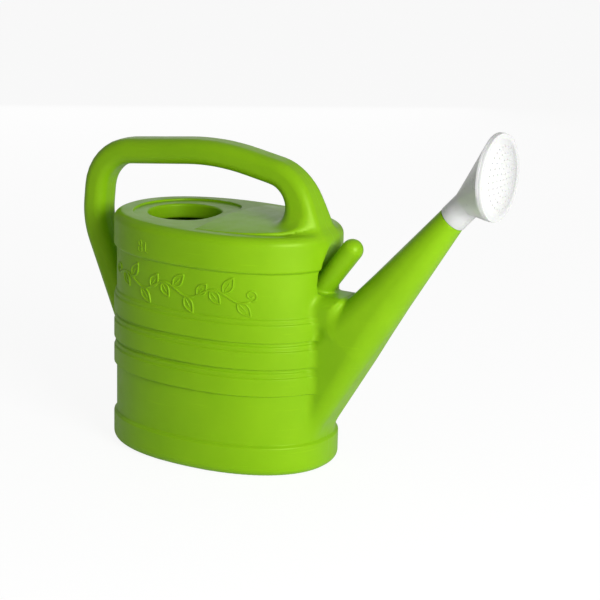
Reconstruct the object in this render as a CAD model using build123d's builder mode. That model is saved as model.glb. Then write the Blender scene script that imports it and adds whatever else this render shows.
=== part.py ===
"""Blow-moulded watering can with a pull-off rose, in millimetres.

+X runs from the handle to the spout, +Z is up, and the origin is the centre of the base,
on the ground. Base, tank wall, deck, handle, spout and storage peg are one hollow moulding:
each region is its own node, and they meet face to face. The rose is a shell with a snap-in
perforated face.
"""

from build123d import *
from math import cos, pi, radians, sin, tan
import os

os.makedirs("parts", exist_ok=True)

# Tank
half_length = 124.0  # plan outline, front to back
half_width = 84.0
squareness = 2.2  # exponent of the plan outline: 2 is an ellipse, more is squarer
outline_points = 40
tank_height = 250.0
wall = 1.8  # moulded wall
base_height = 33.0  # plinth band
base_proud = 3.0
base_rounding = 8.0
base_floor = 4.4
base_recess = 2.5  # middle of the underside stands clear of the ground
base_ring = 16.0  # width of the ring it stands on
shoulder_height = 37.5
shoulder_proud = 3.0
shoulder_rounding = 8.0
shoulder_undercut = 2.0
rib_height = 18.7
rib_pitch = 28.0
rib_count = 3
rib_proud = 1.8
lowest_rib = 86.1  # underside of the lowest rib

# Deck and filling mouth
mouth_radius = 39.0
mouth_centre = -53.0
mouth_front = -17.0  # straight side of the mouth
rim_radius = 60.0  # sunken ledge around the mouth
rim_centre = -46.0
rim_front = -8.0
rim_depth = 2.0
deck_step = 5.0  # where the raised front half of the deck begins
deck_rise = 4.5  # at the middle: the raised half is arched from side to side
deck_inset = 14.0  # raised half stays this far inside the outline
crown_half_width = 72.0

# Handle
grip_width = 33.0
grip_depth = 27.0
grip_rounding = 10.0
grip_path = [(-100, 70), (-166, 226), (-159, 301.5), (-10, 318), (84, 300.5), (106, 232)]
grip_bends = [80, 48, 260, 42]
foot_length, foot_width = 56.0, 44.0  # flare where the front leg meets the deck
foot_centre = 95.5
foot_top_length, foot_top_width = 34.0, 33.6
foot_top_centre = 92.0
foot_height = 20.0
foot_sunk = 6.0  # how far the flare reaches into the tank's shoulder

# Spout
spout_rise = 46.8  # angle of its upper line above the ground
spout_taper = 11.0  # angle between the upper and lower lines
tip_centre = (259.0, 0.0, 281.5)
tip_diameter = 28.0
spout_back = 260.0  # length of the taper, to inside the tank
spout_bend = 142.0  # distance back from the tip to the foot of the upper line
bend_width = 50.0
root_width = 54.0
root_rounding = 24.0
ledge_height = 187.0  # flat top of the web behind the spout
ledge_reach = 148.0
ledge_back = 100.0
ledge_width = 46.0
ledge_depth = 60.0
ledge_rounding = 9.0
spigot_radius = 11.25
spigot_length = 22.0
spigot_bore = 9.0
bore_behind_tip = 3.0

# Storage peg
peg_root = (115.0, 0.0, 190.0)
peg_end = (149.0, 0.0, 235.0)
peg_radius = 11.25
pocket_radius = 19.5  # hollow around the peg, with room for the rose's collar
pocket_reach = 60.0

# Rose
collar_radius = 14.5
collar_clearance = 0.08
rose_wall = 2.0
rose_back = 302.0  # where the oblique cone ends and the rim begins
rose_centre_z = 328.0
rose_radius = 43.0
shell_front = 304.6
face_front = 307.5
face_wall = 2.0
dome_radius = 38.0
dome_height = 6.5
plug_clearance = 0.3
plug_depth = 2.2
hole_diameter = 1.6
hole_rings = 5
hole_pitch = 6.1


def plan_outline(grow):
    """The tank's softly squared oval, with its half axes longer by grow."""
    power = 2 / squareness
    points = []
    for i in range(outline_points):
        c, s = cos(2 * pi * i / outline_points), sin(2 * pi * i / outline_points)
        x = (half_length + grow) * abs(c) ** power * (1 if c > 0 else -1)
        y = (half_width + grow) * abs(s) ** power * (1 if s > 0 else -1)
        points.append((x, y))
    with BuildSketch() as outline:
        with BuildLine():
            Spline(*points, periodic=True)
        make_face()
    return outline.sketch


def cut_circle(radius, centre, front):
    """A circle with its front cut straight across at x = front, for the mouth and its ledge."""
    with BuildSketch() as outline:
        with Locations((centre, 0)):
            Circle(radius)
        with Locations((front, 0)):
            Rectangle(2 * radius, 2 * radius, align=(Align.MIN, Align.CENTER), mode=Mode.SUBTRACT)
    return outline.sketch


def deck_crown(shrink):
    """The deck's raised front half, arched from side to side, smaller by shrink all round."""
    foot = tank_height - shrink
    with BuildPart() as crown:
        with BuildSketch(Plane.YZ.offset(deck_step + shrink)):
            with BuildLine():
                ThreePointArc((-crown_half_width, foot), (0, foot + deck_rise), (crown_half_width, foot))
                Line((crown_half_width, foot), (-crown_half_width, foot))
            make_face()
        extrude(amount=half_length)
        with BuildSketch(Plane.XY.offset(foot)):
            add(plan_outline(-deck_inset - shrink))
        extrude(amount=deck_rise, mode=Mode.INTERSECT)
    return crown.part


def ledge_block(shrink):
    """The flat-topped web behind the spout, smaller by shrink all round."""
    with BuildPart() as block:
        with BuildSketch(Plane.YZ.offset(ledge_back)):
            with Locations((0, ledge_height - ledge_depth / 2)):
                RectangleRounded(
                    ledge_width - 2 * shrink,
                    ledge_depth - 2 * shrink,
                    ledge_rounding - shrink,
                )
        extrude(amount=ledge_reach - ledge_back - shrink)
    return block.part


def spout_section(back, shrink=0.0):
    """Plane and outline sizes of the spout at a distance back from its tip."""
    depth = tip_diameter + back * tan(radians(spout_taper))
    if back <= spout_bend:
        width = tip_diameter + (bend_width - tip_diameter) * back / spout_bend
    else:
        share = (back - spout_bend) / (spout_back - spout_bend)
        width = bend_width + (root_width - bend_width) * share
    along = Vector(cos(radians(spout_rise)), 0, sin(radians(spout_rise)))
    upward = Vector(-sin(radians(spout_rise)), 0, cos(radians(spout_rise)))
    origin = Vector(*tip_centre) - along * back - upward * (depth - tip_diameter) / 2
    place = Plane(origin=origin, x_dir=(0, 1, 0), z_dir=along)
    rounding = min(width / 2 - 0.05, root_rounding) - shrink
    return place, width - 2 * shrink, depth - 2 * shrink, rounding


def grip_tube(shrink):
    """The handle's rounded bar along its path, smaller by shrink all round."""
    with BuildPart() as tube:
        with BuildLine(Plane.XZ) as route:
            FilletPolyline(*grip_path, radius=grip_bends)
        with BuildSketch(Plane(origin=route.line @ 0, x_dir=(0, 1, 0), z_dir=route.line % 0)):
            RectangleRounded(grip_width - 2 * shrink, grip_depth - 2 * shrink, grip_rounding - shrink)
        sweep(path=route.line)
    return tube.part


def grip_foot(shrink):
    """The flare that spreads the front leg onto the deck, smaller by shrink all round."""
    with BuildPart() as flare:
        with BuildSketch(Plane.XY.offset(tank_height - foot_sunk)):
            with Locations((foot_centre, 0)):
                RectangleRounded(foot_length - 2 * shrink, foot_width - 2 * shrink, grip_rounding)
        with BuildSketch(Plane.XY.offset(tank_height + foot_height)):
            with Locations((foot_top_centre, 0)):
                RectangleRounded(foot_top_length - 2 * shrink, foot_top_width - 2 * shrink, grip_rounding)
        loft(ruled=True)
    return flare.part


def rose_cone(back_radius, front_radius):
    """Oblique cone from the end of the collar to the upright rim, made as two mirrored halves."""
    with BuildPart() as cone:
        for place, radius in ((collar_end, back_radius), (cone_end, front_radius)):
            with BuildSketch(place):
                Circle(radius)
                Rectangle(
                    2 * radius,
                    2 * radius,
                    align=(Align.MAX, Align.CENTER),
                    mode=Mode.SUBTRACT,
                )
        loft(ruled=True)
        mirror(about=Plane.XZ)
    return cone.part


# Outer form of the tank, a solid that the other regions are cut back to
peg_plane = Plane(origin=peg_root, z_dir=Vector(*peg_end) - Vector(*peg_root))
peg_length = (Vector(*peg_end) - Vector(*peg_root)).length
with BuildPart() as shoulder:
    with BuildSketch(Plane.XY.offset(tank_height - shoulder_height)):
        add(plan_outline(shoulder_proud))
    extrude(amount=shoulder_height)
    fillet(shoulder.edges().group_by(Axis.Z)[-1], shoulder_rounding)
    fillet(shoulder.edges().group_by(Axis.Z)[0], shoulder_undercut)
    add(deck_crown(0))
with BuildPart() as can_form:
    with BuildSketch():
        add(plan_outline(base_proud))
    extrude(amount=base_height)
    fillet(can_form.edges().group_by(Axis.Z)[0], base_rounding)
    fillet(can_form.edges().group_by(Axis.Z)[-1], base_proud / 2)
    with BuildSketch(Plane.XY.offset(base_rounding)):
        add(plan_outline(0))
    extrude(amount=tank_height - base_rounding - shoulder_rounding)
    for i in range(rib_count):
        with BuildSketch(Plane.XY.offset(lowest_rib + i * rib_pitch)):
            add(plan_outline(rib_proud))
        extrude(amount=rib_height)
    add(shoulder.part)
    with BuildSketch(peg_plane):
        Circle(pocket_radius)
    extrude(amount=pocket_reach, mode=Mode.SUBTRACT)
with BuildPart() as pocket_skin:
    with BuildSketch(peg_plane.offset(-wall)):
        Circle(pocket_radius + wall)
    extrude(amount=pocket_reach)
    add(can_form.part, mode=Mode.INTERSECT)

# Hollow forms: the insides of the spout, peg and handle run on into the tank
with BuildPart() as spout_form:
    for back in (0, spout_bend, spout_back):
        place, width, depth, rounding = spout_section(back)
        with BuildSketch(place):
            RectangleRounded(width, depth, rounding)
    loft(ruled=True)
with BuildPart() as spout_hollow:
    for back in (bore_behind_tip, spout_bend, spout_back + wall):
        place, width, depth, rounding = spout_section(back, wall)
        with BuildSketch(place):
            RectangleRounded(width, depth, rounding)
    loft(ruled=True)
    with BuildSketch(spout_section(bore_behind_tip)[0]):
        Circle(spigot_bore)
    extrude(amount=bore_behind_tip + spigot_length)
    add(ledge_block(wall))
with BuildPart() as peg_hollow:
    with BuildSketch(peg_plane.offset(-2 * wall)):
        Circle(peg_radius - wall)
    extrude(amount=peg_length + 2 * wall)
    with Locations(peg_end):
        Sphere(peg_radius - wall)
grip_hollow = grip_tube(wall)

# The moulded tank with its bands, deck, stepped filling mouth and recessed base
cavity_steps = [
    (base_floor, tank_height - wall, -wall),
    (base_rounding, base_height - wall, base_proud - wall),
    (tank_height - shoulder_height + wall, tank_height - shoulder_rounding, shoulder_proud - wall),
]
with BuildPart() as tank:
    add(can_form.part)
    with BuildSketch():
        add(plan_outline(-base_ring))
    extrude(amount=base_recess, mode=Mode.SUBTRACT)
    for bottom, top, grow in cavity_steps:
        with BuildSketch(Plane.XY.offset(bottom)):
            add(plan_outline(grow))
        extrude(amount=top - bottom, mode=Mode.SUBTRACT)
    add(deck_crown(wall), mode=Mode.SUBTRACT)
    add(pocket_skin.part)
    with BuildSketch(Plane.XY.offset(tank_height - wall - rim_depth)):
        add(cut_circle(rim_radius + wall, rim_centre, rim_front + wall))
    extrude(amount=rim_depth)
    with BuildSketch(Plane.XY.offset(tank_height - rim_depth)):
        add(cut_circle(rim_radius, rim_centre, rim_front))
    extrude(amount=rim_depth, mode=Mode.SUBTRACT)
    with BuildSketch(Plane.XY.offset(tank_height)):
        add(cut_circle(mouth_radius, mouth_centre, mouth_front))
    extrude(amount=-2 * wall - rim_depth, mode=Mode.SUBTRACT)
    add(spout_hollow.part, mode=Mode.SUBTRACT)
    add(peg_hollow.part, mode=Mode.SUBTRACT)
    add(grip_hollow, mode=Mode.SUBTRACT)
deck_underside = tank_height - wall - rim_depth

# Base: the closed bottom, up to the tank's floor
with BuildPart() as base:
    add(tank.part)
    split(bisect_by=Plane.XY.offset(base_floor), keep=Keep.BOTTOM)
base.part.label = "base"
export_step(base.part, "parts/base.step")

# Tank wall: the upright oval wall with plinth, ribs and shoulder band
with BuildPart() as tank_wall:
    add(tank.part)
    split(bisect_by=Plane.XY.offset(base_floor), keep=Keep.TOP)
    split(bisect_by=Plane.XY.offset(deck_underside), keep=Keep.BOTTOM)
tank_wall.part.label = "tank_wall"
export_step(tank_wall.part, "parts/tank_wall.step")

# Deck: the top with its raised front half, sunken ledge and filling mouth
with BuildPart() as deck:
    add(tank.part)
    split(bisect_by=Plane.XY.offset(deck_underside), keep=Keep.TOP)
deck.part.label = "deck"
export_step(deck.part, "parts/deck.step")

# Handle: hollow loop from the rear wall up and over to the front of the deck
with BuildPart() as handle:
    add(grip_tube(0))
    add(grip_foot(0))
    add(grip_hollow, mode=Mode.SUBTRACT)
    add(grip_foot(wall), mode=Mode.SUBTRACT)
    add(can_form.part, mode=Mode.SUBTRACT)
handle.part.label = "handle"
export_step(handle.part, "parts/handle.step")

# Spout: tapered tube with a deep web at its root, and the spigot that holds the rose
with BuildPart() as spout:
    add(spout_form.part)
    add(ledge_block(0))
    with BuildSketch(spout_section(0)[0]):
        Circle(spigot_radius)
    extrude(amount=spigot_length)
    add(spout_hollow.part, mode=Mode.SUBTRACT)
    add(peg_hollow.part, mode=Mode.SUBTRACT)
    add(can_form.part, mode=Mode.SUBTRACT)
spout.part.label = "spout"
export_step(spout.part, "parts/spout.step")

# Rose peg: round-ended stub on the front of the can, where the rose is kept while pouring
with BuildPart() as rose_peg:
    with BuildSketch(peg_plane):
        Circle(peg_radius)
    extrude(amount=peg_length)
    with Locations(peg_end):
        Sphere(peg_radius)
    add(peg_hollow.part, mode=Mode.SUBTRACT)
    add(can_form.part, mode=Mode.SUBTRACT)
    add(ledge_block(0), mode=Mode.SUBTRACT)
rose_peg.part.label = "rose_peg"
export_step(rose_peg.part, "parts/rose_peg.step")

# Rose shell: collar over the spigot, oblique cone and round rim
collar_end = spout_section(0)[0].offset(spigot_length)
cone_end = Plane(origin=(rose_back, 0, rose_centre_z), x_dir=(0, 1, 0), z_dir=(1, 0, 0))
with BuildPart() as rose_shell:
    with BuildSketch(spout_section(0)[0]):
        Circle(collar_radius)
    extrude(amount=spigot_length)
    add(rose_cone(collar_radius, rose_radius))
    with BuildSketch(cone_end):
        Circle(rose_radius)
    extrude(amount=shell_front - rose_back)
    with BuildSketch(spout_section(0)[0]):
        Circle(spigot_radius + collar_clearance)
    extrude(amount=spigot_length, mode=Mode.SUBTRACT)
    add(rose_cone(spigot_radius + collar_clearance, rose_radius - rose_wall), mode=Mode.SUBTRACT)
    with BuildSketch(cone_end):
        Circle(rose_radius - rose_wall)
    extrude(amount=shell_front - rose_back, mode=Mode.SUBTRACT)
rose_shell.part.label = "rose_shell"
export_step(rose_shell.part, "parts/rose_shell.step")

# Rose face: domed plate with rings of fine holes, snapped into the shell's rim
plug_radius = rose_radius - rose_wall - plug_clearance
dome_curve = (dome_radius**2 + dome_height**2) / (2 * dome_height)
with BuildPart() as rose_face:
    with BuildSketch(Plane.XZ):
        with BuildLine():
            dome_edge = (face_front, rose_centre_z + dome_radius)
            dome_top = (face_front + dome_height, rose_centre_z)
            inner_edge = (face_front - face_wall, rose_centre_z + dome_radius)
            inner_top = (face_front + dome_height - face_wall, rose_centre_z)
            RadiusArc(dome_top, dome_edge, -dome_curve)
            Polyline(
                dome_edge,
                (face_front, rose_centre_z + rose_radius),
                (shell_front, rose_centre_z + rose_radius),
                (shell_front, rose_centre_z + plug_radius),
                (shell_front - plug_depth, rose_centre_z + plug_radius),
                (shell_front - plug_depth, rose_centre_z + plug_radius - rose_wall),
                (face_front - face_wall, rose_centre_z + plug_radius - rose_wall),
                inner_edge,
            )
            RadiusArc(inner_edge, inner_top, dome_curve)
            Line(inner_top, dome_top)
        make_face()
    revolve(axis=Axis((0, 0, rose_centre_z), (1, 0, 0)))
    with BuildSketch(cone_end.offset(face_front - rose_back + 2 * dome_height)):
        Circle(hole_diameter / 2)
        for ring in range(1, hole_rings + 1):
            with PolarLocations(ring * hole_pitch, 6 * ring):
                Circle(hole_diameter / 2)
    extrude(amount=-3 * dome_height, mode=Mode.SUBTRACT)
rose_face.part.label = "rose_face"
export_step(rose_face.part, "parts/rose_face.step")
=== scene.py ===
import math

import bpy
import numpy as np
from mathutils import Matrix, Vector
from mathutils.geometry import delaunay_2d_cdt


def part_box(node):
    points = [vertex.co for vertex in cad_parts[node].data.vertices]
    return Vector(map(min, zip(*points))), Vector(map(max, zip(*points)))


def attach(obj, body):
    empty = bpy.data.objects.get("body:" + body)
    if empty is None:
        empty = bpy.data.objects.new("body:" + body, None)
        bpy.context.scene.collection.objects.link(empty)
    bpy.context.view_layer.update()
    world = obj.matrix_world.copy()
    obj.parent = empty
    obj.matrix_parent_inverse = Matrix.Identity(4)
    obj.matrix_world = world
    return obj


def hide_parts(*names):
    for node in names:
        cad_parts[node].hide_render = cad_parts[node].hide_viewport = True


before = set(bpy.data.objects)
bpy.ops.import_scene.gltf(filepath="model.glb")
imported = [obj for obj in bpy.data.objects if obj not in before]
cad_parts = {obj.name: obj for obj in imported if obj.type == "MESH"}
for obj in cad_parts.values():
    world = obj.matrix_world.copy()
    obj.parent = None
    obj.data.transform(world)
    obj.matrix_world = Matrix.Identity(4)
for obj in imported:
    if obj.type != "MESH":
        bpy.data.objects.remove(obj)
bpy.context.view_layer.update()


# ---- The can ----------------------------------------------------------------------------
# One hollow blow moulding in lime green polyethylene: tank, handle, spout and storage peg run
# into each other with soft fillets, as the parison filled them out. Nothing is fixed to it,
# so it is one skin here, worked out as a smooth union of its regions.
tank_high = Vector((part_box("tank_wall")[1].x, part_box("tank_wall")[1].y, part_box("deck")[1].z))
tank_proud = 0.003
deck_rise = 0.0045
half_length = tank_high.x - tank_proud
half_width = tank_high.y - tank_proud
tank_top = tank_high.z - deck_rise
plan_power = 2.2
tank_wall, deck_thickness, tube_wall = 0.0034, 0.0036, 0.0055
tank_floor = 0.0044
foot_rounding = 0.009
crown_rounding = 0.009

plinth_top = 0.0332
shoulder_bottom = 0.2125
rib_bottoms = [0.0861, 0.1141, 0.1421]
rib_height = 0.0184
rib_slope = 0.0230
rib_proud = 0.0029


def smooth_step(value, start, end):
    """0 before start, 1 after end, and an even ease between them."""
    share = np.clip((value - start) / (end - start), 0, 1)
    return share * share * (3 - 2 * share)


def soft_union(a, b, fillet):
    """Two solids joined with a fillet of about that radius."""
    share = np.clip(1 - np.abs(a - b) / fillet, 0, None)
    return np.minimum(a, b) - share * share * fillet / 4


def rounded_common(a, b, rounding):
    """What two solids share, its outer edge rounded."""
    u, v = a + rounding, b + rounding
    return np.minimum(np.maximum(u, v), 0) + np.hypot(np.maximum(u, 0), np.maximum(v, 0)) - rounding


def plan_gap(x, y):
    """Distance outside the tank's softly squared oval, seen from above."""
    u, v = np.abs(x) / half_length, np.abs(y) / half_width
    size = (u**plan_power + v**plan_power + 1e-9) ** (1 / plan_power)
    slope_x = (u / size) ** (plan_power - 1) / half_length
    slope_y = (v / size) ** (plan_power - 1) / half_width
    return (size - 1) / np.hypot(slope_x, slope_y)


def wall_proud(z):
    """How far the wall stands out at a height: plinth, three ribs and the shoulder band."""
    proud = tank_proud * (1 - smooth_step(z, plinth_top - 0.0025, plinth_top + 0.0006))
    for bottom in rib_bottoms:
        rise = smooth_step(z, bottom - 0.0003, bottom + 0.0003)
        first_fall = smooth_step(z, bottom + rib_height - 0.0006, bottom + rib_height + 0.0014)
        last_fall = smooth_step(z, bottom + rib_slope, bottom + rib_slope + 0.0022)
        proud = proud + rib_proud * rise * (1 - 0.5 * first_fall - 0.5 * last_fall)
    return proud + tank_proud * smooth_step(z, shoulder_bottom - 0.0006, shoulder_bottom + 0.0030)


# The handle's centreline in the symmetry plane: straight runs joined by arcs
grip_corners = [
    (-0.100, 0.070),
    (-0.166, 0.226),
    (-0.159, 0.3015),
    (-0.010, 0.318),
    (0.084, 0.3005),
    (0.108, 0.232),
]
grip_bends = [0.080, 0.048, 0.260, 0.042]
grip_half_width, grip_half_depth, grip_rounding = 0.0165, 0.0135, 0.0105


def grip_route():
    """Points along the handle's centreline, close together on the arcs."""
    corners = [np.array(c) for c in grip_corners]
    points = [corners[0]]
    for before, corner, after, radius in zip(corners, corners[1:], corners[2:], grip_bends):
        arrive = (corner - before) / np.linalg.norm(corner - before)
        leave = (after - corner) / np.linalg.norm(after - corner)
        turn = math.acos(float(arrive @ leave))
        reach = radius * math.tan(turn / 2)
        side = np.sign(arrive[0] * leave[1] - arrive[1] * leave[0])
        start = corner - arrive * reach
        hub = start + radius * side * np.array([-arrive[1], arrive[0]])
        for step in range(9):
            angle = side * turn * step / 8
            spoke = start - hub
            turned = [
                spoke[0] * math.cos(angle) - spoke[1] * math.sin(angle),
                spoke[0] * math.sin(angle) + spoke[1] * math.cos(angle),
            ]
            points.append(hub + np.array(turned))
    points.append(corners[-1])
    return np.array(points)


def grip_gap(x, y, z):
    """Distance outside the handle, whose front leg widens towards the deck."""
    route = grip_route()
    nearest = np.full(x.shape, 1.0)
    for (ax, az), (bx, bz) in zip(route, route[1:]):
        run = np.array([bx - ax, bz - az])
        along = np.clip(((x - ax) * run[0] + (z - az) * run[1]) / (run @ run), 0, 1)
        nearest = np.minimum(nearest, np.hypot(x - ax - along * run[0], z - az - along * run[1]))
    low_front = smooth_step(x, 0.05, 0.08) * (1 - smooth_step(z, tank_top - 0.002, tank_top + 0.062))
    half_depth = grip_half_depth + 0.004 * low_front
    half_across = grip_half_width + 0.0045 * low_front
    u = nearest - half_depth + grip_rounding
    v = np.abs(y) - half_across + grip_rounding
    return np.minimum(np.maximum(u, v), 0) + np.hypot(np.maximum(u, 0), np.maximum(v, 0)) - grip_rounding


spout_rise = math.radians(46.8)
spout_taper = math.tan(math.radians(11.0))
spout_along = Vector((math.cos(spout_rise), 0, math.sin(spout_rise)))
spout_up = Vector((-math.sin(spout_rise), 0, math.cos(spout_rise)))
spout_tip = Vector((0.259, 0, 0.2815))
tip_radius, tip_bore = 0.0140, 0.0100
spout_bend = 0.142
ledge_top = 0.187
ledge_front = 0.148


def spout_gap(x, y, z):
    """Distance outside the spout: nearly round at its tip, a deep flat-sided web at its root."""
    back = -((x - spout_tip.x) * spout_along.x + (z - spout_tip.z) * spout_along.z)
    up = (x - spout_tip.x) * spout_up.x + (z - spout_tip.z) * spout_up.z
    reach = np.maximum(back, 0)
    half_depth = tip_radius + reach * spout_taper / 2
    half_across = np.minimum(tip_radius + 0.011 * reach / spout_bend, 0.0275)
    rounding = np.minimum(half_across, 0.022 - 0.055 * np.maximum(reach - spout_bend, 0)) - 0.0001
    u = np.abs(up + half_depth - tip_radius) - half_depth + rounding
    v = np.abs(y) - half_across + rounding
    tube = np.minimum(np.maximum(u, v), 0) + np.hypot(np.maximum(u, 0), np.maximum(v, 0)) - rounding
    tube = rounded_common(tube, -back, 0.001)
    ledge = rounded_common(z - ledge_top, np.maximum(x - ledge_front, 0.155 - z - 0.3 * (x - 0.1)), 0.004)
    ledge = rounded_common(ledge, np.abs(y) - 0.0265, 0.013)
    return tube, soft_union(tube, ledge, 0.006)


peg_root, peg_end = Vector((0.115, 0, 0.190)), Vector((0.149, 0, 0.235))
peg_radius = 0.01125


pocket_radius = 0.0195


def peg_gap(x, y, z):
    """Distances outside the round-ended storage peg, and outside the pocket around it."""
    run = (peg_end - peg_root).normalized()
    along = (x - peg_root.x) * run.x + (z - peg_root.z) * run.z
    across = np.hypot((x - peg_root.x) * run.z - (z - peg_root.z) * run.x, y)
    peg = np.hypot(across, along - np.clip(along, -0.01, (peg_end - peg_root).length)) - peg_radius
    return peg, np.maximum(across - pocket_radius, -along)


mouth_radius, mouth_centre, mouth_front = 0.039, -0.053, -0.017
rim_radius, rim_centre, rim_front, rim_depth = 0.060, -0.046, -0.008, 0.0022
deck_step, deck_inset, crown_half_width = 0.005, 0.014, 0.072


def cut_round_gap(x, y, radius, centre, front, corner):
    """Distance outside a circle whose front is cut straight across, with rounded corners."""
    return rounded_common(np.hypot(x - centre, y) - radius, x - front, corner)


def can_gap(x, y, z):
    """Distance outside the whole moulding, negative in its wall."""
    plan = plan_gap(x, y)
    side = plan - wall_proud(z)
    skin = rounded_common(side, z - tank_top, crown_rounding)
    skin = rounded_common(skin, -z, foot_rounding)
    crown = deck_rise * np.clip(1 - (y / crown_half_width) ** 2, 0, 1)
    raised = rounded_common(np.maximum(plan + deck_inset, deck_step - x), z - tank_top - crown, 0.0015)
    skin = soft_union(skin, np.maximum(raised, tank_top - 0.01 - z), 0.0008)
    ledge = cut_round_gap(x, y, rim_radius, rim_centre, rim_front, 0.012)
    skin = rounded_common(skin, -np.maximum(ledge, tank_top - rim_depth - z), 0.0012)
    under_deck = z - tank_top + rim_depth + deck_thickness
    inside = np.maximum(rounded_common(plan + tank_wall, under_deck, 0.006), tank_floor - z)
    handle = grip_gap(x, y, z)
    peg, pocket = peg_gap(x, y, z)
    tube, spout = spout_gap(x, y, z)
    inside = np.maximum(inside, tank_wall - pocket)
    fillet = np.where(x < 0, 0.010, 0.024 - 0.017 * smooth_step(x, 0.100, 0.118))
    skin = soft_union(skin, handle, fillet)
    skin = rounded_common(skin, -pocket, 0.002)
    skin = soft_union(skin, spout, 0.007)
    skin = soft_union(skin, peg, 0.004)
    mouth = cut_round_gap(x, y, mouth_radius, mouth_centre, mouth_front, 0.006)
    neck = np.maximum(mouth - 0.0050, tank_top - 0.018 - z)
    skin = np.maximum(skin, -np.maximum(inside, -neck))
    opening = np.maximum(mouth, np.abs(z - tank_top) - 0.02)
    skin = rounded_common(skin, -opening, 0.0022)
    standing = np.maximum(plan + 0.016, z - 0.0025)
    skin = rounded_common(skin, -standing, 0.001)
    spigot = np.hypot((x - spout_tip.x) * spout_up.x + (z - spout_tip.z) * spout_up.z, y)
    out = (x - spout_tip.x) * spout_along.x + (z - spout_tip.z) * spout_along.z
    behind_wall = np.maximum(0.112 - x, tank_wall - pocket)
    hollow = np.maximum(np.maximum(tube + tube_wall, out + 0.006), behind_wall)
    hollow = np.minimum(hollow, np.maximum(spigot - tip_bore, -out - 0.03))
    return np.maximum(skin, -hollow)


def grid_lines(low, high, step, fine, edges, reach):
    """Sample places from low to high, closer together around the edges that need it."""
    lines = [low]
    while lines[-1] < high:
        nearest = min((abs(lines[-1] + step / 2 - edge) for edge in edges), default=1.0)
        lines.append(lines[-1] + (fine if nearest < reach + step / 2 else step))
    return np.array(lines)


def skin_of(gap, xs, ys, zs):
    """Vertices and quads of the surface where gap is zero, one vertex in each cell it crosses."""
    value = gap(*np.meshgrid(xs, ys, zs, indexing="ij"))
    inside = value < 0
    wide, deep, tall = (size - 1 for size in inside.shape)
    count = sum(
        inside[i : wide + i, j : deep + j, k : tall + k].astype(np.int8)
        for i in (0, 1)
        for j in (0, 1)
        for k in (0, 1)
    )
    crossed = (count > 0) & (count < 8)
    index = np.full(crossed.shape, -1)
    index[crossed] = np.arange(crossed.sum())
    cells = np.argwhere(crossed)
    total, crossings = np.zeros((len(cells), 3)), np.zeros((len(cells), 1))
    lines = (xs, ys, zs)
    for axis in range(3):
        for first in (0, 1):
            for second in (0, 1):
                start = cells.copy()
                start[:, (axis + 1) % 3] += first
                start[:, (axis + 2) % 3] += second
                end = start.copy()
                end[:, axis] += 1
                a, b = value[tuple(start.T)], value[tuple(end.T)]
                hit = (a < 0) != (b < 0)
                share = np.where(hit, a / np.where(hit, a - b, 1), 0)[:, None]
                here = np.stack([lines[n][start[:, n]] for n in range(3)], 1)
                there = np.stack([lines[n][end[:, n]] for n in range(3)], 1)
                total += np.where(hit[:, None], here + share * (there - here), 0)
                crossings += hit[:, None]
    quads = []
    for axis in range(3):
        low = [slice(1, -1)] * 3
        low[axis] = slice(0, -1)
        high = list(low)
        high[axis] = slice(1, None)
        a, b = inside[tuple(low)], inside[tuple(high)]
        offset = np.array([1, 1, 1])
        offset[axis] = 0
        for outward in (True, False):
            at = np.argwhere(a & ~b if outward else ~a & b) + offset
            u, v = np.zeros(3, int), np.zeros(3, int)
            u[(axis + 1) % 3] = 1
            v[(axis + 2) % 3] = 1
            ring = [index[tuple((at - shift).T)] for shift in (0 * u, u, u + v, v)]
            quads.append(np.stack(ring if outward else ring[::-1], 1))
    return total / crossings, np.concatenate(quads)


def gap_slope(gap, points):
    """Distance and outward direction of the surface at each point."""
    reach = 0.00015
    x, y, z = points.T
    slope = np.stack(
        [
            gap(x + reach, y, z) - gap(x - reach, y, z),
            gap(x, y + reach, z) - gap(x, y - reach, z),
            gap(x, y, z + reach) - gap(x, y, z - reach),
        ],
        1,
    ) / (2 * reach)
    return gap(x, y, z), slope


def settle(gap, points, rounds=3):
    """Moves points onto the surface, never further than a grid step."""
    points = points.copy()
    for _ in range(rounds):
        distance, slope = gap_slope(gap, points)
        move = distance / np.maximum((slope**2).sum(1), 0.2)
        points -= np.clip(move, -0.0015, 0.0015)[:, None] * slope
    return points


step = 0.0024
rib_rises = (0, rib_height + 0.0007, rib_slope + 0.001)
rib_edges = [bottom + rise for bottom in rib_bottoms for rise in rib_rises]
heights = [plinth_top, *rib_edges, shoulder_bottom + 0.001, tank_top - 0.001]
xs = grid_lines(-0.186, 0.290, step, step / 3, [deck_step], 0.003)
ys = np.linspace(-0.0905, 0.0905, 2 * round(0.0905 / step))
zs = grid_lines(-0.0052, 0.338, step, step / 4, heights, 0.0018)
points, quads = skin_of(can_gap, xs, ys, zs)
points = settle(can_gap, points)

can_mesh = bpy.data.meshes.new("can")
can_mesh.from_pydata(points.tolist(), [], quads.tolist())
can_mesh.shade_smooth()
_, slopes = gap_slope(can_gap, points)
slopes /= np.maximum(np.linalg.norm(slopes, axis=1), 1e-6)[:, None]
can_mesh.normals_split_custom_set_from_vertices(slopes.tolist())
can = bpy.data.objects.new("can", can_mesh)
bpy.context.scene.collection.objects.link(can)
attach(can, "can")
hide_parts("base", "tank_wall", "deck", "handle", "spout", "rose_peg")


def new_node(tree, kind, **settings):
    """A node in a tree, with its constants set on its sockets."""
    node = tree.nodes.new(kind)
    for name, value in settings.items():
        if name in ("operation", "data_type"):
            setattr(node, name, value)
        else:
            node.inputs[name.replace("_", " ")].default_value = value
    return node


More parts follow.
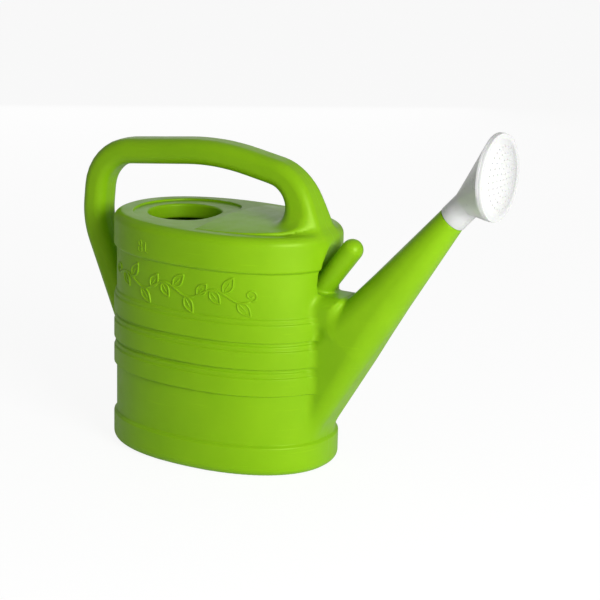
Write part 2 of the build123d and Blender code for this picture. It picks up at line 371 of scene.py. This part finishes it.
def moulded_surface():
    """Node group for moulded plastic: cloudy tone, sheen that varies, fine grain and rubbed marks."""
    group = bpy.data.node_groups.new("moulded_surface", "ShaderNodeTree")
    for name in ("Tone", "Roughness", "Height"):
        group.interface.new_socket(name=name, in_out="OUTPUT", socket_type="NodeSocketFloat")
    leave = group.nodes.new("NodeGroupOutput")
    place = group.nodes.new("ShaderNodeTexCoord")
    clouds = new_node(group, "ShaderNodeTexNoise", Scale=11.0, Detail=4.0, Roughness=0.6)
    sheen = new_node(group, "ShaderNodeTexNoise", Scale=70.0, Detail=5.0, Roughness=0.65)
    grain = new_node(group, "ShaderNodeTexNoise", Scale=1100.0, Detail=2.0)
    swell = new_node(group, "ShaderNodeTexNoise", Scale=38.0, Detail=1.0)
    stretch = group.nodes.new("ShaderNodeMapping")
    stretch.inputs["Rotation"].default_value = (0.5, 0.3, 0.2)
    stretch.inputs["Scale"].default_value = (26, 22, 520)
    rubs = new_node(group, "ShaderNodeTexNoise", Scale=1.0, Detail=3.0)
    rub_mask = group.nodes.new("ShaderNodeMapRange")
    rub_mask.inputs["From Min"].default_value = 0.64
    rub_mask.inputs["From Max"].default_value = 0.72
    group.links.new(place.outputs["Object"], stretch.inputs["Vector"])
    group.links.new(stretch.outputs["Vector"], rubs.inputs["Vector"])
    for noise in (clouds, sheen, grain, swell):
        group.links.new(place.outputs["Object"], noise.inputs["Vector"])
    group.links.new(rubs.outputs["Fac"], rub_mask.inputs["Value"])
    tone = new_node(group, "ShaderNodeMath", operation="MULTIPLY_ADD")
    tone.inputs[1].default_value = 0.25
    group.links.new(rub_mask.outputs["Result"], tone.inputs[0])
    group.links.new(clouds.outputs["Fac"], tone.inputs[2])
    group.links.new(tone.outputs["Value"], leave.inputs["Tone"])
    dull = new_node(group, "ShaderNodeMath", operation="MULTIPLY_ADD")
    dull.inputs[1].default_value = 0.10
    group.links.new(rub_mask.outputs["Result"], dull.inputs[0])
    group.links.new(sheen.outputs["Fac"], dull.inputs[2])
    group.links.new(dull.outputs["Value"], leave.inputs["Roughness"])
    fine = new_node(group, "ShaderNodeMath", operation="MULTIPLY_ADD")
    fine.inputs[1].default_value = 0.12
    group.links.new(grain.outputs["Fac"], fine.inputs[0])
    group.links.new(swell.outputs["Fac"], fine.inputs[2])
    group.links.new(fine.outputs["Value"], leave.inputs["Height"])
    return group


def plastic(name, dark, light, tint, roughness, subsurface, parting_line):
    """Moulded plastic between two tones, with a fine parting line in the symmetry plane or none."""
    material = bpy.data.materials.new(name)
    material.use_nodes = True
    tree = material.node_tree
    shader = tree.nodes["Principled BSDF"]
    surface = tree.nodes.new("ShaderNodeGroup")
    surface.node_tree = surface_group
    colour = new_node(tree, "ShaderNodeMix", data_type="RGBA")
    colour.inputs["A"].default_value = (*dark, 1)
    colour.inputs["B"].default_value = (*light, 1)
    gloss = tree.nodes.new("ShaderNodeMapRange")
    gloss.inputs["From Min"].default_value = 0.3
    gloss.inputs["From Max"].default_value = 0.8
    gloss.inputs["To Min"].default_value = roughness - 0.05
    gloss.inputs["To Max"].default_value = roughness + 0.09
    bump = tree.nodes.new("ShaderNodeBump")
    bump.inputs["Strength"].default_value = 0.35
    bump.inputs["Distance"].default_value = 0.0004
    place = tree.nodes.new("ShaderNodeTexCoord")
    split = tree.nodes.new("ShaderNodeSeparateXYZ")
    off_line = new_node(tree, "ShaderNodeMath", operation="ABSOLUTE")
    ridge = tree.nodes.new("ShaderNodeMapRange")
    ridge.inputs["From Max"].default_value = 0.0006
    ridge.inputs["To Min"].default_value = parting_line
    ridge.inputs["To Max"].default_value = 0
    height = new_node(tree, "ShaderNodeMath", operation="ADD")
    tree.links.new(surface.outputs["Tone"], colour.inputs["Factor"])
    tree.links.new(colour.outputs["Result"], shader.inputs["Base Color"])
    tree.links.new(surface.outputs["Roughness"], gloss.inputs["Value"])
    tree.links.new(gloss.outputs["Result"], shader.inputs["Roughness"])
    tree.links.new(place.outputs["Object"], split.inputs["Vector"])
    tree.links.new(split.outputs["Y"], off_line.inputs[0])
    tree.links.new(off_line.outputs["Value"], ridge.inputs["Value"])
    tree.links.new(surface.outputs["Height"], height.inputs[0])
    tree.links.new(ridge.outputs["Result"], height.inputs[1])
    tree.links.new(height.outputs["Value"], bump.inputs["Height"])
    tree.links.new(bump.outputs["Normal"], shader.inputs["Normal"])
    shader.inputs["Specular Tint"].default_value = (*tint, 1)
    shader.inputs["Subsurface Weight"].default_value = subsurface
    shader.inputs["Subsurface Radius"].default_value = (0.5, 1.0, 0.2)
    shader.inputs["Subsurface Scale"].default_value = 0.006
    return material


surface_group = moulded_surface()
lime_dark, lime_light, lime_tint = (0.19, 0.41, 0.004), (0.27, 0.54, 0.008), (0.6, 0.8, 0.2)
lime = plastic("lime_polyethylene", lime_dark, lime_light, lime_tint, 0.37, 0.12, 1.6)
can_mesh.materials.append(lime)


# ---- Leaf relief ------------------------------------------------------------------------
# A leafy vine raised on both long sides of the can, above the ribs. It is part of the same
# moulding: rounded ridges under a millimetre high that follow the oval wall.
vine_middle, vine_swing, vine_wave = 0.1880, 0.0055, 0.058
vine_from, vine_to = -0.094, 0.074
leaf_length, leaf_half_width = 0.0175, 0.0049
ridge_width, ridge_height = 0.0027, 0.0010
leaf_spacing = 0.0145


def wall_spot(x, z, out, proud):
    """The place on the near wall at x and z, a little out from the wall's face."""
    a, b = half_length + proud, half_width + proud
    y = -b * (1 - np.abs(x / a) ** plan_power) ** (1 / plan_power)
    slope_x = np.sign(x) * np.abs(x / a) ** (plan_power - 1) / a
    slope_y = -np.abs(y / b) ** (plan_power - 1) / b
    slope = np.stack([slope_x, slope_y])
    slope /= np.hypot(*slope)
    return np.stack([x + slope[0] * out, y + slope[1] * out, z + 0 * x], 1)


def wall_ridge(line, width, height, proud, closed=False):
    """Vertices and faces of a rounded ridge along a line of (x, z) points on the near wall."""
    line = np.array(line)
    around = np.roll(line, -1, 0) - np.roll(line, 1, 0)
    if not closed:
        around[0], around[-1] = line[1] - line[0], line[-1] - line[-2]
    around /= np.linalg.norm(around, axis=1)[:, None]
    size = np.ones(len(line))
    if not closed:
        reach = np.concatenate([[0], np.cumsum(np.linalg.norm(np.diff(line, axis=0), axis=1))])
        size = np.sqrt(np.clip(np.minimum(reach, reach[-1] - reach) / width + 0.02, 0, 1))
    vertices, faces = [], []
    across = 8
    for n in range(across + 1):
        angle = math.pi * n / across
        shift = width / 2 * math.cos(angle) * size
        out = (height + 0.0003) * math.sin(angle) * size - 0.0003
        x, z = line[:, 0] - around[:, 1] * shift, line[:, 1] + around[:, 0] * shift
        vertices.append(wall_spot(x, z, out, proud))
    count = len(line)
    for n in range(across):
        for i in range(count if closed else count - 1):
            k = (i + 1) % count
            faces.append((n * count + i, n * count + k, (n + 1) * count + k, (n + 1) * count + i))
    return np.concatenate(vertices), faces


def relief(name, ridges, both_sides):
    """One object from ridges on the near wall, mirrored to the far wall if asked."""
    vertices, faces = [], []
    for ridge_vertices, ridge_faces in ridges:
        for flip in (1, -1) if both_sides else (1,):
            start = sum(len(v) for v in vertices)
            vertices.append(ridge_vertices * (1, flip, 1))
            faces += [tuple(start + i for i in face[::flip]) for face in ridge_faces]
    mesh = bpy.data.meshes.new(name)
    mesh.from_pydata(np.concatenate(vertices).tolist(), [], faces)
    mesh.shade_smooth()
    mesh.materials.append(lime)
    piece = bpy.data.objects.new(name, mesh)
    bpy.context.scene.collection.objects.link(piece)
    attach(piece, "can")


def swing(x):
    """Height of the vine's stem above the ground at x."""
    return vine_middle + vine_swing * np.sin(2 * math.pi * (x - vine_from) / vine_wave)


def vine_ridges():
    """The vine's stem, its outlined leaves with a rib in each, and a curl at both ends."""
    stem_x = np.linspace(vine_from, vine_to, 150)
    ridges = [wall_ridge(np.stack([stem_x, swing(stem_x)], 1), ridge_width, ridge_height, 0)]
    for n in range(11):
        x = vine_from + 0.010 + n * leaf_spacing
        side = 1 if n % 2 else -1
        lean = math.radians(52 + 7 * math.sin(2.3 * n))
        length = leaf_length * (1 - 0.10 * math.cos(1.7 * n))
        run = np.array([math.cos(lean), side * math.sin(lean)])
        across = np.array([-run[1], run[0]])
        foot = np.array([x, swing(x)]) + run * 0.0012
        t = np.linspace(0, 1, 22)
        spread = leaf_half_width * np.sin(math.pi * t**0.8)
        upper = foot + np.outer(t * length, run) + np.outer(spread, across)
        lower = foot + np.outer(t * length, run) - np.outer(spread, across)
        outline = np.concatenate([upper, lower[-2:0:-1]])
        ridges.append(wall_ridge(outline, 0.8 * ridge_width, ridge_height, 0, closed=True))
        rib = foot + np.outer(np.linspace(0, 0.68, 10) * length, run)
        ridges.append(wall_ridge(rib, 0.55 * ridge_width, 0.7 * ridge_height, 0))
    for end, way in ((vine_from, -1), (vine_to, 1)):
        turn = np.linspace(0, 2.6 * math.pi, 40)
        radius = 0.0062 * (1 - turn / (3.3 * math.pi))
        hub = np.array([end, swing(end) + 0.0062])
        curl = hub + np.stack([way * radius * np.sin(turn), -radius * np.cos(turn)], 1)
        ridges.append(wall_ridge(curl, 0.8 * ridge_width, ridge_height, 0))
    return ridges


relief("leaf_relief", vine_ridges(), both_sides=True)


# ---- Capacity mark ----------------------------------------------------------------------
# The small raised 8 L on the near side of the shoulder band, moulded with the can.
mark_x, mark_z, mark_height = -0.0535, 0.2205, 0.0115


def mark_ridges():
    """Rounded strokes of the figure and the letter."""
    turn = np.linspace(0, 2 * math.pi, 24, endpoint=False)
    ring = np.stack([np.cos(turn), np.sin(turn)], 1)
    low, high = 0.27 * mark_height, 0.23 * mark_height
    strokes = [
        (ring * (0.9 * low, low) + (mark_x, mark_z + low), True),
        (ring * (0.85 * high, high) + (mark_x, mark_z + 2 * low + high), True),
    ]
    left, right = mark_x + 0.0075, mark_x + 0.0120
    foot = np.linspace(0, 1, 8)[:, None]
    strokes.append(((left, mark_z + mark_height) + foot * (0, -mark_height), False))
    strokes.append(((left, mark_z + 0.0004) + foot * (right - left, 0), False))
    return [wall_ridge(line, 0.0015, 0.0006, tank_proud, closed) for line, closed in strokes]


relief("capacity_mark", mark_ridges(), both_sides=False)


# ---- Spigot -----------------------------------------------------------------------------
# The can's own thin-walled neck at the spout's end, hidden in the rose's collar: the collar
# is pushed over it. It is moulded with the spout and steps in from the spout's skin.
spigot_radius, spigot_bore = 0.01125, 0.0090
spigot_length, spigot_sunk = 0.022, 0.004
turns = np.linspace(0, 2 * math.pi, 144, endpoint=False)


def collar_ring(out, radius):
    """Points round the spout's axis, a distance out from the tip."""
    centre = np.array(spout_tip + spout_along * out)
    up_way = np.array(spout_up)
    return centre + radius * (np.outer(np.cos(turns), (0, 1, 0)) + np.outer(np.sin(turns), up_way))


def ring_faces(rings, first, closed):
    """Quads between rings that follow one another, from the vertex number first."""
    count, faces = len(turns), []
    for n in range(len(rings) if closed else len(rings) - 1):
        m = (n + 1) % len(rings)
        for i in range(count):
            k = (i + 1) % count
            corners = (n * count + i, n * count + k, m * count + k, m * count + i)
            faces.append(tuple(first + corner for corner in corners))
    return faces


spigot_rings = [
    collar_ring(-spigot_sunk, spigot_bore),
    collar_ring(-spigot_sunk, spigot_radius),
    collar_ring(spigot_length - 0.0006, spigot_radius),
    collar_ring(spigot_length - 0.0002, spigot_radius - 0.0002),
    collar_ring(spigot_length, spigot_radius - 0.0006),
    collar_ring(spigot_length, spigot_bore),
]
spigot_mesh = bpy.data.meshes.new("spigot")
spigot_mesh.from_pydata(np.concatenate(spigot_rings).tolist(), [], ring_faces(spigot_rings, 0, True))
spigot_mesh.shade_smooth()
spigot_mesh.set_sharp_from_angle(angle=math.radians(38))
spigot_mesh.materials.append(lime)
spigot = bpy.data.objects.new("spigot", spigot_mesh)
bpy.context.scene.collection.objects.link(spigot)
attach(spigot, "can")


# ---- Rose shell -------------------------------------------------------------------------
# White injection-moulded polypropylene: a collar pushed over the spout's spigot, an oblique
# cone and the round rim that holds the perforated face. Friction alone keeps it on.
collar_radius, collar_bore = 0.0145, 0.01133
rose_centre = Vector((0.302, 0, 0.328))
rose_radius, rose_wall = 0.043, 0.002
shell_front = 0.3046


def rim_ring(x, radius):
    """Points round the rose's level axis, in the upright plane at x."""
    points = np.stack([0 * turns + x, radius * np.cos(turns), rose_centre.z + radius * np.sin(turns)], 1)
    return points


def cone_rings(first, last, count):
    """Rings that run evenly from one ring to another, both left out."""
    return [first + (last - first) * n / (count + 1) for n in range(1, count + 1)]


def white_piece(name, vertices, faces, body, node):
    """A white piece of the rose that stands in for its CAD node."""
    mesh = bpy.data.meshes.new(name)
    mesh.from_pydata(np.array(vertices).tolist(), [], faces)
    mesh.shade_smooth()
    mesh.set_sharp_from_angle(angle=math.radians(38))
    mesh.materials.append(white)
    piece = bpy.data.objects.new(name, mesh)
    bpy.context.scene.collection.objects.link(piece)
    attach(piece, body)
    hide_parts(node)


white = plastic("white_polypropylene", (0.66, 0.67, 0.66), (0.74, 0.75, 0.73), (1, 1, 1), 0.30, 0.08, 0)
neck_out, neck_in = collar_ring(spigot_length, collar_radius), collar_ring(spigot_length, collar_bore)
edge_out, edge_in = rim_ring(rose_centre.x, rose_radius), rim_ring(rose_centre.x, rose_radius - rose_wall)
shell_rings = [
    collar_ring(0, collar_bore + 0.0004),
    collar_ring(0, collar_radius - 0.0006),
    collar_ring(0.0002, collar_radius - 0.0002),
    collar_ring(0.0006, collar_radius),
    collar_ring(0.5 * spigot_length, collar_radius),
    collar_ring(spigot_length - 0.0006, collar_radius),
    *cone_rings(neck_out, edge_out, 9),
    edge_out,
    rim_ring(shell_front - 0.0004, rose_radius),
    rim_ring(shell_front, rose_radius - 0.0004),
    rim_ring(shell_front, rose_radius - rose_wall),
    edge_in,
    *cone_rings(edge_in, neck_in, 9),
    neck_in,
    collar_ring(0.0004, collar_bore),
]
shell_faces = ring_faces(shell_rings, 0, True)
white_piece("rose_shell_skin", np.concatenate(shell_rings), shell_faces, "rose", "rose_shell")


# ---- Rose face --------------------------------------------------------------------------
# White injection-moulded plate with a low dome and 91 fine holes in rings. Its short skirt
# snaps into the shell's rim, so that it can be taken out and cleaned.
face_front, face_wall = 0.3075, 0.002
dome_radius, dome_height = 0.038, 0.0065
dome_curve = (dome_radius**2 + dome_height**2) / (2 * dome_height)
hole_radius, hole_pitch, hole_count, hole_corners = 0.0008, 0.0061, 5, 14
skirt_radius, skirt_depth = 0.0407, 0.0022


def dome_x(radius, back):
    """How far forward the plate stands at a distance from its centre."""
    rise = np.sqrt(dome_curve**2 - np.minimum(radius, dome_radius) ** 2) - (dome_curve - dome_height)
    return face_front + rise - back


def plate_parts():
    """Flat triangles of the plate round its holes, and the places of the holes' edges."""
    centres = [(0.0, 0.0)]
    for ring in range(1, hole_count + 1):
        for n in range(6 * ring):
            angle = 2 * math.pi * n / (6 * ring)
            centres.append((ring * hole_pitch * math.cos(angle), ring * hole_pitch * math.sin(angle)))
    spots, edges = [], []
    for centre in centres:
        start = len(spots)
        for n in range(hole_corners):
            angle = 2 * math.pi * n / hole_corners
            across, up_by = hole_radius * math.cos(angle), hole_radius * math.sin(angle)
            spots.append((centre[0] + across, centre[1] + up_by))
            edges.append((start + n, start + (n + 1) % hole_corners))
    hole_spots = len(spots)
    for ring in range(hole_count):
        radius, count = (ring + 0.5) * hole_pitch, 12 * (ring + 1)
        angles = [2 * math.pi * n / count for n in range(count)]
        spots += [(radius * math.cos(angle), radius * math.sin(angle)) for angle in angles]
    for radius in (0.0335, 0.0365, 0.0375, 0.0380, 0.0384, 0.0387, rose_radius - 0.0008):
        spots += [(radius * math.cos(turn), radius * math.sin(turn)) for turn in turns]
    found = delaunay_2d_cdt([Vector(spot) for spot in spots], edges, [], 0, 1e-7)
    flat = np.array([tuple(v) for v in found[0]])
    triangles = np.array([face for face in found[2]])
    middle_of = flat[triangles].mean(1)
    gaps = np.hypot(*(middle_of[:, None, :] - np.array(centres)[None]).transpose(2, 0, 1)).min(1)
    return flat, triangles[gaps > 0.93 * hole_radius], spots[:hole_spots]


flat, triangles, hole_edges = plate_parts()
reach = np.hypot(*flat.T)
front = np.stack([dome_x(reach, 0), flat[:, 0], flat[:, 1] + rose_centre.z], 1)
behind = np.stack([dome_x(reach, face_wall), flat[:, 0], flat[:, 1] + rose_centre.z], 1)
hole_flat = np.array(hole_edges)
hole_reach = np.hypot(*hole_flat.T)
hole_front = np.stack([dome_x(hole_reach, 0), hole_flat[:, 0], hole_flat[:, 1] + rose_centre.z], 1)
hole_back = hole_front - (face_wall, 0, 0)
rim_rings = [
    rim_ring(face_front, rose_radius - 0.0008),
    rim_ring(face_front - 0.0002, rose_radius - 0.0002),
    rim_ring(face_front - 0.0008, rose_radius),
    rim_ring(shell_front + 0.0004, rose_radius),
    rim_ring(shell_front, rose_radius - 0.0004),
    rim_ring(shell_front, skirt_radius),
    rim_ring(shell_front - skirt_depth, skirt_radius),
    rim_ring(shell_front - skirt_depth, skirt_radius - face_wall),
    rim_ring(face_front - face_wall, skirt_radius - face_wall),
]
plate_vertices = [front, behind, hole_front, hole_back, *rim_rings]
plate_faces = [tuple(face) for face in triangles]
first, second, third = front[triangles[0]]
if np.cross(second - first, third - first)[0] < 0:
    plate_faces = [face[::-1] for face in plate_faces]
inner = [face for face in plate_faces if max(reach[list(face)]) < 0.0388]
plate_faces += [tuple(len(front) + i for i in face[::-1]) for face in inner]
start = 2 * len(front)
for hole in range(len(hole_flat) // hole_corners):
    for n in range(hole_corners):
        a = start + hole * hole_corners + n
        b = start + hole * hole_corners + (n + 1) % hole_corners
        plate_faces.append((a, a + len(hole_flat), b + len(hole_flat), b))
plate_faces += [face[::-1] for face in ring_faces(rim_rings, start + 2 * len(hole_flat), False)]
white_piece("rose_face_skin", np.concatenate(plate_vertices), plate_faces, "rose_screen", "rose_face")


# ---- Floor, light and camera ------------------------------------------------------------
# A pale sweep of board in a dim white room, with one broad soft box low at the front right.
floor_mesh = bpy.data.meshes.new("floor")
floor_mesh.from_pydata([(-60, -60, 0), (60, -60, 0), (60, 60, 0), (-60, 60, 0)], [], [(0, 1, 2, 3)])
floor = bpy.data.objects.new("floor", floor_mesh)
bpy.context.scene.collection.objects.link(floor)
board = bpy.data.materials.new("white_board")
board.use_nodes = True
tree = board.node_tree
matt = tree.nodes["Principled BSDF"]
matt.inputs["Base Color"].default_value = (0.9, 0.9, 0.9, 1)
matt.inputs["Roughness"].default_value = 0.9
glow = tree.nodes.new("ShaderNodeEmission")
glow.inputs["Strength"].default_value = 1.06
path = tree.nodes.new("ShaderNodeLightPath")
share = tree.nodes.new("ShaderNodeMath")
share.operation = "MULTIPLY"
share.inputs[1].default_value = 0.85
mix = tree.nodes.new("ShaderNodeMixShader")
tree.links.new(path.outputs["Is Camera Ray"], share.inputs[0])
tree.links.new(share.outputs["Value"], mix.inputs["Fac"])
tree.links.new(matt.outputs["BSDF"], mix.inputs[1])
tree.links.new(glow.outputs["Emission"], mix.inputs[2])
tree.links.new(mix.outputs["Shader"], tree.nodes["Material Output"].inputs["Surface"])
floor_mesh.materials.append(board)

world = bpy.data.worlds.new("studio")
world.use_nodes = True
world.node_tree.nodes["Background"].inputs["Color"].default_value = (1, 1, 1, 1)
world.node_tree.nodes["Background"].inputs["Strength"].default_value = 0.27
bpy.context.scene.world = world
bpy.context.scene.view_settings.view_transform = "Standard"


def studio_light(name, place, target, size, power):
    """A square soft box at place, aimed at target."""
    lamp = bpy.data.lights.new(name, "AREA")
    lamp.size = size
    lamp.energy = power
    holder = bpy.data.objects.new(name, lamp)
    holder.location = place
    holder.rotation_euler = (Vector(target) - Vector(place)).to_track_quat("-Z", "Y").to_euler()
    bpy.context.scene.collection.objects.link(holder)


middle = (0, 0, tank_top / 2)
studio_light("key_light", (1.58, -0.84, 0.72), middle, 0.8, 31)
studio_light("fill_light", (-1.20, 1.60, 0.70), middle, 1.4, 3.5)

# The camera looks down a little from the front right of the can, far away with a long lens
view_azimuth, view_elevation, view_roll = math.radians(30.49), math.radians(14.916), math.radians(1.33)
back = Vector((
    math.cos(view_elevation) * math.sin(view_azimuth),
    -math.cos(view_elevation) * math.cos(view_azimuth),
    math.sin(view_elevation),
))
right = Vector((math.cos(view_azimuth), math.sin(view_azimuth), 0))
up = back.cross(right)
camera_data = bpy.data.cameras.new("camera")
camera_data.sensor_width = 36
camera_data.lens = 120.2
camera = bpy.data.objects.new("camera", camera_data)
spot = Vector((0, 0, 0.124)) + 2.1101 * back + 0.0770 * right + 0.0364 * up
side = math.cos(view_roll) * right + math.sin(view_roll) * up
top = math.cos(view_roll) * up - math.sin(view_roll) * right
camera.matrix_world = Matrix.Translation(spot) @ Matrix((side, top, back)).transposed().to_4x4()
bpy.context.scene.collection.objects.link(camera)
bpy.context.scene.camera = camera
